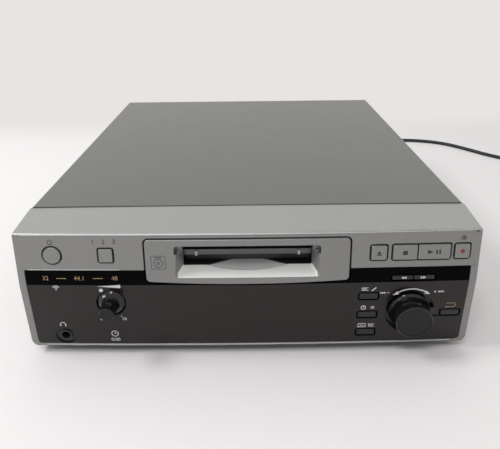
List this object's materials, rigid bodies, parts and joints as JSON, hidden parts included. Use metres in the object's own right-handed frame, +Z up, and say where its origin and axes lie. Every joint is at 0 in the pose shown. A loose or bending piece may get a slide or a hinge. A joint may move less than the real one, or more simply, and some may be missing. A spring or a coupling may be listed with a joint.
{
  "type": "minidisc deck",
  "caption": "Compact minidisc recorder deck with a slot, keys, level knob and jog dial, loading mechanism, rear sockets and a mains cord.",
  "frame": {"origin": "on the surface under the middle of the deck without its cord", "axes": "+Z up, +X to the right seen from the front, the front faces -Y"},
  "size_m": [0.6826, 0.4991, 0.106],
  "materials": {
    "silver_plastic": "satin paint",
    "smoked_plastic": "gloss",
    "black_plastic": "matte",
    "black_gloss": "gloss",
    "white_plastic": "matte",
    "cover_paint": "satin paint",
    "sheet_steel": "plated",
    "turned_steel": "turned",
    "plated_shell": "polished",
    "circuit_board": "lacquered",
    "tube_glass": "clear",
    "black_rubber": "matte",
    "cord_rubber": "satin",
    "iron_core": "lacquered",
    "fin_aluminium": "plain",
    "red_plastic": "matte"
  },
  "bodies": {
    "deck": {"front_bezel": "silver_plastic", "display_window": "smoked_plastic", "slot_panel": "silver_plastic", "entry_guide": "black_plastic", "entry_lip": "sheet_steel", "entry_tabs": "white_plastic", "key_switches": "black_plastic", "rotary_controls": "black_plastic", "phones_jack": "black_plastic", "front_board": "circuit_board", "display_tube": "tube_glass", "top_cover": "cover_paint", "cover_screws": "turned_steel", "chassis_base": "sheet_steel", "rear_panel": "cover_paint", "foot_shells": "black_plastic", "foot_pads": "black_rubber", "line_jack_block": "black_plastic", "line_jack_rings": "red_plastic", "line_jack_shells": "plated_shell", "optical_sockets": "black_plastic", "main_board": "circuit_board", "power_board": "circuit_board", "heat_sink": "fin_aluminium", "transformer": "iron_core", "ribbon_cable": "white_plastic", "loading_motor": "turned_steel", "mechanism_chassis": "sheet_steel", "mechanism_bracket": "sheet_steel", "mechanism_dampers": "black_rubber", "guide_rods": "turned_steel", "mechanism_motors": "turned_steel", "cord_strain_relief": "cord_rubber", "power_cord": "cord_rubber", "cord_coil": "cord_rubber", "power_plug": "cord_rubber"},
    "power_button": {"power_button": "silver_plastic"},
    "input_button": {"input_button": "silver_plastic"},
    "eject_button": {"eject_button": "silver_plastic"},
    "stop_button": {"stop_button": "silver_plastic"},
    "play_button": {"play_button": "silver_plastic"},
    "record_button": {"record_button": "silver_plastic"},
    "rewind_key": {"rewind_key": "black_gloss"},
    "forward_key": {"forward_key": "black_gloss"},
    "name_key": {"name_key": "black_gloss"},
    "timer_key": {"timer_key": "black_gloss"},
    "display_key": {"display_key": "black_gloss"},
    "enter_key": {"enter_key": "black_gloss"},
    "level_knob": {"level_knob": "black_gloss", "level_shaft": "turned_steel"},
    "jog_dial": {"jog_dial": "black_gloss", "jog_shaft": "turned_steel"},
    "slot_flap": {"slot_flap": "black_gloss"},
    "holder": {"cartridge_holder": "sheet_steel"},
    "slider": {"loading_slider": "sheet_steel"},
    "drive_gear": {"loading_gear": "white_plastic"},
    "turntable": {"turntable": "black_plastic"},
    "pickup": {"optical_pickup": "black_plastic"},
    "head_arm": {"recording_head_arm": "sheet_steel"},
    "lead_screw": {"lead_screw": "turned_steel"}
  },
  "joints": [
    {"name": "power_button_press", "type": "slide", "parent": "deck", "child": "power_button", "axis": [0, 1, 0], "range_m": [0, 0.0008], "stiffness_N_per_m": 400},
    {"name": "input_button_press", "type": "slide", "parent": "deck", "child": "input_button", "axis": [0, 1, 0], "range_m": [0, 0.0008], "stiffness_N_per_m": 400},
    {"name": "eject_button_press", "type": "slide", "parent": "deck", "child": "eject_button", "axis": [0, 1, 0], "range_m": [0, 0.0008], "stiffness_N_per_m": 400},
    {"name": "stop_button_press", "type": "slide", "parent": "deck", "child": "stop_button", "axis": [0, 1, 0], "range_m": [0, 0.0008], "stiffness_N_per_m": 400},
    {"name": "play_button_press", "type": "slide", "parent": "deck", "child": "play_button", "axis": [0, 1, 0], "range_m": [0, 0.0008], "stiffness_N_per_m": 400},
    {"name": "record_button_press", "type": "slide", "parent": "deck", "child": "record_button", "axis": [0, 1, 0], "range_m": [0, 0.0008], "stiffness_N_per_m": 400},
    {"name": "rewind_key_press", "type": "slide", "parent": "deck", "child": "rewind_key", "axis": [0, 1, 0], "range_m": [0, 0.0008], "stiffness_N_per_m": 400},
    {"name": "forward_key_press", "type": "slide", "parent": "deck", "child": "forward_key", "axis": [0, 1, 0], "range_m": [0, 0.0008], "stiffness_N_per_m": 400},
    {"name": "name_key_press", "type": "slide", "parent": "deck", "child": "name_key", "axis": [0, 1, 0], "range_m": [0, 0.0008], "stiffness_N_per_m": 400},
    {"name": "timer_key_press", "type": "slide", "parent": "deck", "child": "timer_key", "axis": [0, 1, 0], "range_m": [0, 0.0008], "stiffness_N_per_m": 400},
    {"name": "display_key_press", "type": "slide", "parent": "deck", "child": "display_key", "axis": [0, 1, 0], "range_m": [0, 0.0008], "stiffness_N_per_m": 400},
    {"name": "enter_key_press", "type": "slide", "parent": "deck", "child": "enter_key", "axis": [0, 1, 0], "range_m": [0, 0.0008], "stiffness_N_per_m": 400},
    {"name": "level_turn", "type": "hinge", "parent": "deck", "child": "level_knob", "pos_m": [-0.1002, -0.17915, 0.0464], "axis": [0, -1, 0], "range_deg": [-150, 150]},
    {"name": "jog_turn", "type": "hinge", "parent": "deck", "child": "jog_dial", "pos_m": [0.1193, -0.17915, 0.0354], "axis": [0, -1, 0], "continuous": true},
    {"name": "flap_swing", "type": "hinge", "parent": "deck", "child": "slot_flap", "pos_m": [0, -0.16195, 0.0798], "axis": [1, 0, 0], "range_deg": [0, 78], "stiffness_Nm_per_rad": 0.002},
    {"name": "slider_run", "type": "slide", "parent": "deck", "child": "slider", "axis": [0, 1, 0], "range_m": [0, 0.01]},
    {"name": "holder_drop", "type": "slide", "parent": "deck", "child": "holder", "axis": [0, 0, -1], "range_m": [0, 0.005]},
    {"name": "gear_turn", "type": "hinge", "parent": "deck", "child": "drive_gear", "pos_m": [0.0533, -0.10455, 0.06], "axis": [0, 0, 1], "range_deg": [-96.5, 1]},
    {"name": "spindle_turn", "type": "hinge", "parent": "deck", "child": "turntable", "pos_m": [0, -0.11855, 0.06], "axis": [0, 0, 1], "continuous": true},
    {"name": "sled_run", "type": "slide", "parent": "deck", "child": "pickup", "axis": [0, 1, 0], "range_m": [0, 0.0165]},
    {"name": "screw_turn", "type": "hinge", "parent": "deck", "child": "lead_screw", "pos_m": [0.024, -0.11855, 0.05], "axis": [0, 1, 0], "range_deg": [-5, 3965]},
    {"name": "head_drop", "type": "hinge", "parent": "pickup", "child": "head_arm", "pos_m": [0, -0.07255, 0.0832], "axis": [1, 0, 0], "range_deg": [0, 9]}
  ],
  "couplings": [
    {"joint": "holder_drop", "follows": "slider_run", "ratio": 0.5},
    {"joint": "gear_turn", "follows": "slider_run", "rad_per_m": -166.67},
    {"joint": "screw_turn", "follows": "sled_run", "rad_per_m": 4188.8}
  ]
}
